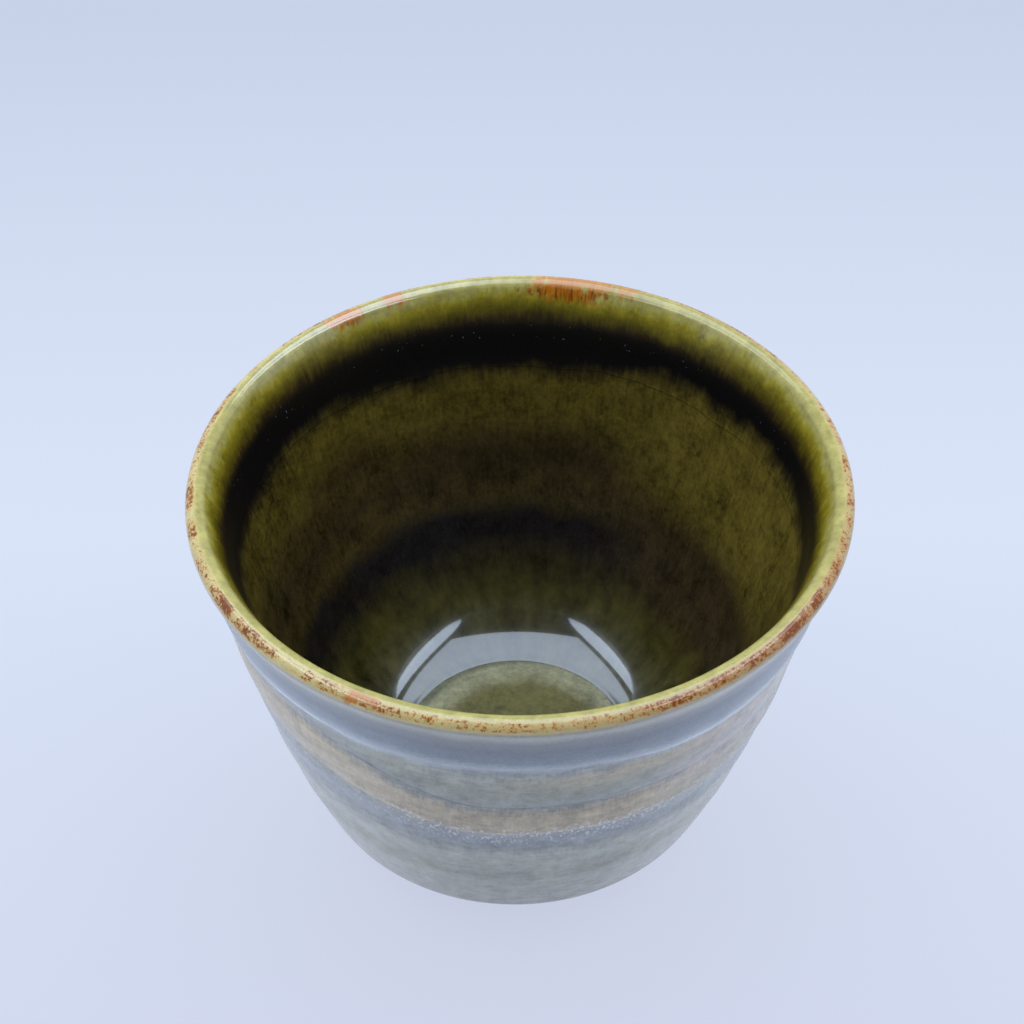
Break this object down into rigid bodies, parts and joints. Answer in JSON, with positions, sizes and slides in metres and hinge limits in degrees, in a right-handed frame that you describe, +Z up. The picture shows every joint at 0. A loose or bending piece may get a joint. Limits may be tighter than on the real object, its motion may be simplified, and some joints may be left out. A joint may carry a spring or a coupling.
{
  "type": "yunomi tea cup",
  "caption": "Low, wide thrown stoneware tea cup with a flared lip, a dipped rim glaze, a glaze pool in its floor, a brushed band outside and a turned foot ring.",
  "frame": {"origin": "centre of the foot ring on the surface that the cup stands on", "axes": "+Z up along the axis of the cup, -Y towards the viewer of the picture, +X to the viewer's right"},
  "size_m": [0.085, 0.085, 0.058],
  "materials": {
    "stoneware": "bare fired stoneware, turned, with fine grog",
    "liner_glaze": "glossy olive-brown glaze with fine vertical runs",
    "pooled_glaze": "thick glassy grey-green glaze pool",
    "outer_glaze": "satin grey-green to blue-grey glaze, mottled, with fine crystals",
    "rim_glaze": "glossy yellow-green glaze breaking rust-brown at the lip and black inside",
    "brushed_band": "satin tan slip glaze in horizontal brush streaks"
  },
  "bodies": {
    "root": {"clay_body": "stoneware", "liner_glaze": "liner_glaze", "pooled_glaze": "pooled_glaze", "outer_glaze": "outer_glaze", "rim_glaze": "rim_glaze", "brushed_band": "brushed_band"}
  },
  "joints": []
}
